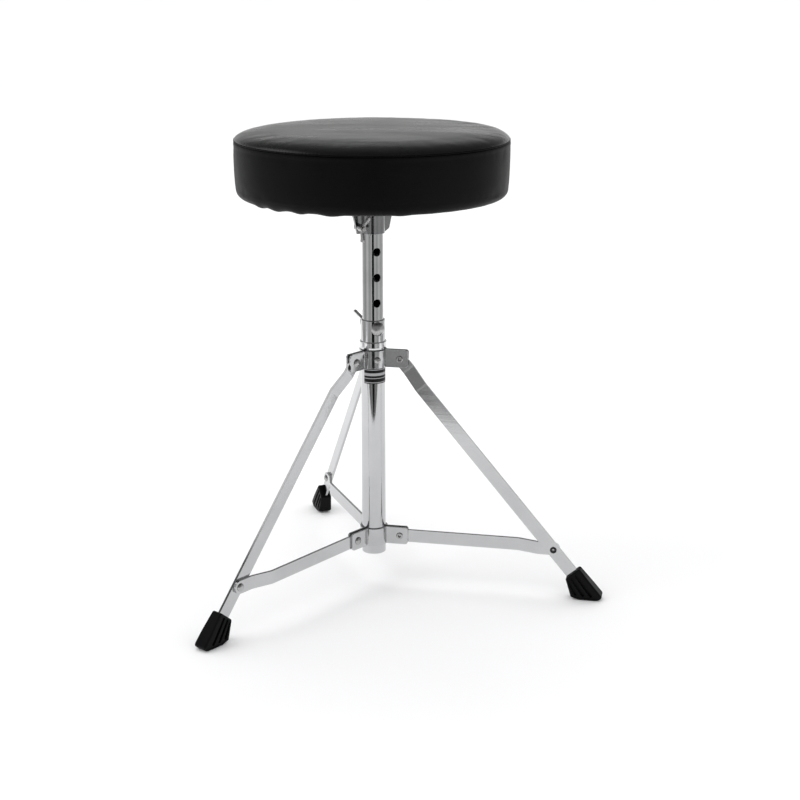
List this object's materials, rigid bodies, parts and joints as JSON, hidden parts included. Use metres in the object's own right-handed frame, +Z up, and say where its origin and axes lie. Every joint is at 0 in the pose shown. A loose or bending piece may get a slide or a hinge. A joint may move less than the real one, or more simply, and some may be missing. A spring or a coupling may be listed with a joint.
{
  "type": "drum throne",
  "caption": "Padded round swivel seat clamped to a pinned height-adjustable post on a folding tripod of flat-strip legs and stays with rubber feet.",
  "frame": {"origin": "floor level, at the middle of the bounding box of the open throne; the tube axis stands at x = -60.2 mm, y = 0", "axes": "+Z up along the tube, +X along leg 1 from the tube to its foot"},
  "size_m": [0.425, 0.4784, 0.5344],
  "materials": {
    "tube_chrome": "bright chrome plate",
    "bracket_chrome": "chrome-plated pressed steel",
    "strip_chrome": "chrome-plated flat bar, slightly satin",
    "fastener_steel": "zinc-plated steel",
    "foot_rubber": "moulded black rubber",
    "plug_plastic": "moulded black plastic",
    "label_film": "plain black film",
    "board_ply": "black-stained plywood",
    "seat_foam": "open-cell foam",
    "cover_vinyl": "black grained vinyl"
  },
  "bodies": {
    "stand": {"base_tube": "tube_chrome", "tube_plug": "plug_plastic", "stop_collar": "tube_chrome", "label_band": "label_film", "top_bracket_1": "bracket_chrome", "top_bracket_2": "bracket_chrome", "top_bracket_3": "bracket_chrome", "bracket_screw": "fastener_steel", "top_rivets": "fastener_steel"},
    "runner": {"runner_bracket_1": "bracket_chrome", "runner_bracket_2": "bracket_chrome", "runner_bracket_3": "bracket_chrome", "runner_rivets": "fastener_steel"},
    "leg_arm_1": {"leg_1": "strip_chrome", "foot_1": "foot_rubber", "rivet_tail_1": "fastener_steel"},
    "leg_arm_2": {"leg_2": "strip_chrome", "foot_2": "foot_rubber", "rivet_tail_2": "fastener_steel"},
    "leg_arm_3": {"leg_3": "strip_chrome", "foot_3": "foot_rubber", "rivet_tail_3": "fastener_steel"},
    "stay_arm_1": {"stay_1": "strip_chrome", "rivet_head_1": "fastener_steel"},
    "stay_arm_2": {"stay_2": "strip_chrome", "rivet_head_2": "fastener_steel"},
    "stay_arm_3": {"stay_3": "strip_chrome", "rivet_head_3": "fastener_steel"},
    "post": {"seat_post": "tube_chrome"},
    "seat": {"seat_clamp_front": "bracket_chrome", "seat_clamp_rear": "bracket_chrome", "clamp_bolt": "fastener_steel", "seat_board": "board_ply", "t_nuts": "fastener_steel", "board_screws": "fastener_steel", "seat_foam": "seat_foam", "cover_top": "cover_vinyl", "cover_band": "cover_vinyl", "staples": "fastener_steel"},
    "clamp_nut": {"clamp_wing_nut": "fastener_steel"},
    "pin": {"height_bolt": "fastener_steel"},
    "pin_nut": {"height_wing_nut": "fastener_steel"}
  },
  "joints": [
    {"name": "runner_slide", "type": "slide", "parent": "stand", "child": "runner", "axis": [0, 0, 1], "range_m": [0, 0.11127]},
    {"name": "leg_hinge_1", "type": "hinge", "parent": "stand", "child": "leg_arm_1", "pos_m": [-0.0285, 0, 0.2746], "axis": [0, 1, 0], "range_deg": [0, 29.46]},
    {"name": "leg_hinge_2", "type": "hinge", "parent": "stand", "child": "leg_arm_2", "pos_m": [-0.07605, 0.02745, 0.2746], "axis": [-0.866, -0.5, 0], "range_deg": [0, 29.46]},
    {"name": "leg_hinge_3", "type": "hinge", "parent": "stand", "child": "leg_arm_3", "pos_m": [-0.07605, -0.02745, 0.2746], "axis": [0.866, -0.5, 0], "range_deg": [0, 29.46]},
    {"name": "stay_hinge_1", "type": "hinge", "parent": "runner", "child": "stay_arm_1", "pos_m": [-0.0285, 0, 0.05895], "axis": [0, 1, 0], "range_deg": [0, 72.84]},
    {"name": "stay_hinge_2", "type": "hinge", "parent": "runner", "child": "stay_arm_2", "pos_m": [-0.07605, 0.02745, 0.05895], "axis": [-0.866, -0.5, 0], "range_deg": [0, 72.84]},
    {"name": "stay_hinge_3", "type": "hinge", "parent": "runner", "child": "stay_arm_3", "pos_m": [-0.07605, -0.02745, 0.05895], "axis": [0.866, -0.5, 0], "range_deg": [0, 72.84]},
    {"name": "post_height", "type": "slide", "parent": "stand", "child": "post", "axis": [0, 0, 1], "range_m": [-0.0882, 0.0882]},
    {"name": "seat_swivel", "type": "hinge", "parent": "post", "child": "seat", "pos_m": [-0.0602, 0, 0.44], "axis": [0, 0, 1], "continuous": true},
    {"name": "clamp_nut_spin", "type": "hinge", "parent": "seat", "child": "clamp_nut", "pos_m": [-0.06854, -0.01744, 0.427], "axis": [0.6428, -0.766, 0], "continuous": true},
    {"name": "pin_pull", "type": "slide", "parent": "stand", "child": "pin", "axis": [0.5807, -0.8141, 0], "range_m": [0, 0.052]},
    {"name": "pin_nut_spin", "type": "hinge", "parent": "stand", "child": "pin_nut", "pos_m": [-0.07181, 0.01628, 0.3109], "axis": [-0.5807, 0.8141, 0], "continuous": true}
  ],
  "couplings": [
    {"joint": "leg_hinge_1", "follows": "runner_slide", "rad_per_m": 4.6211},
    {"joint": "leg_hinge_2", "follows": "runner_slide", "rad_per_m": 4.6211},
    {"joint": "leg_hinge_3", "follows": "runner_slide", "rad_per_m": 4.6211},
    {"joint": "stay_hinge_1", "follows": "runner_slide", "rad_per_m": 11.426},
    {"joint": "stay_hinge_2", "follows": "runner_slide", "rad_per_m": 11.426},
    {"joint": "stay_hinge_3", "follows": "runner_slide", "rad_per_m": 11.426}
  ]
}
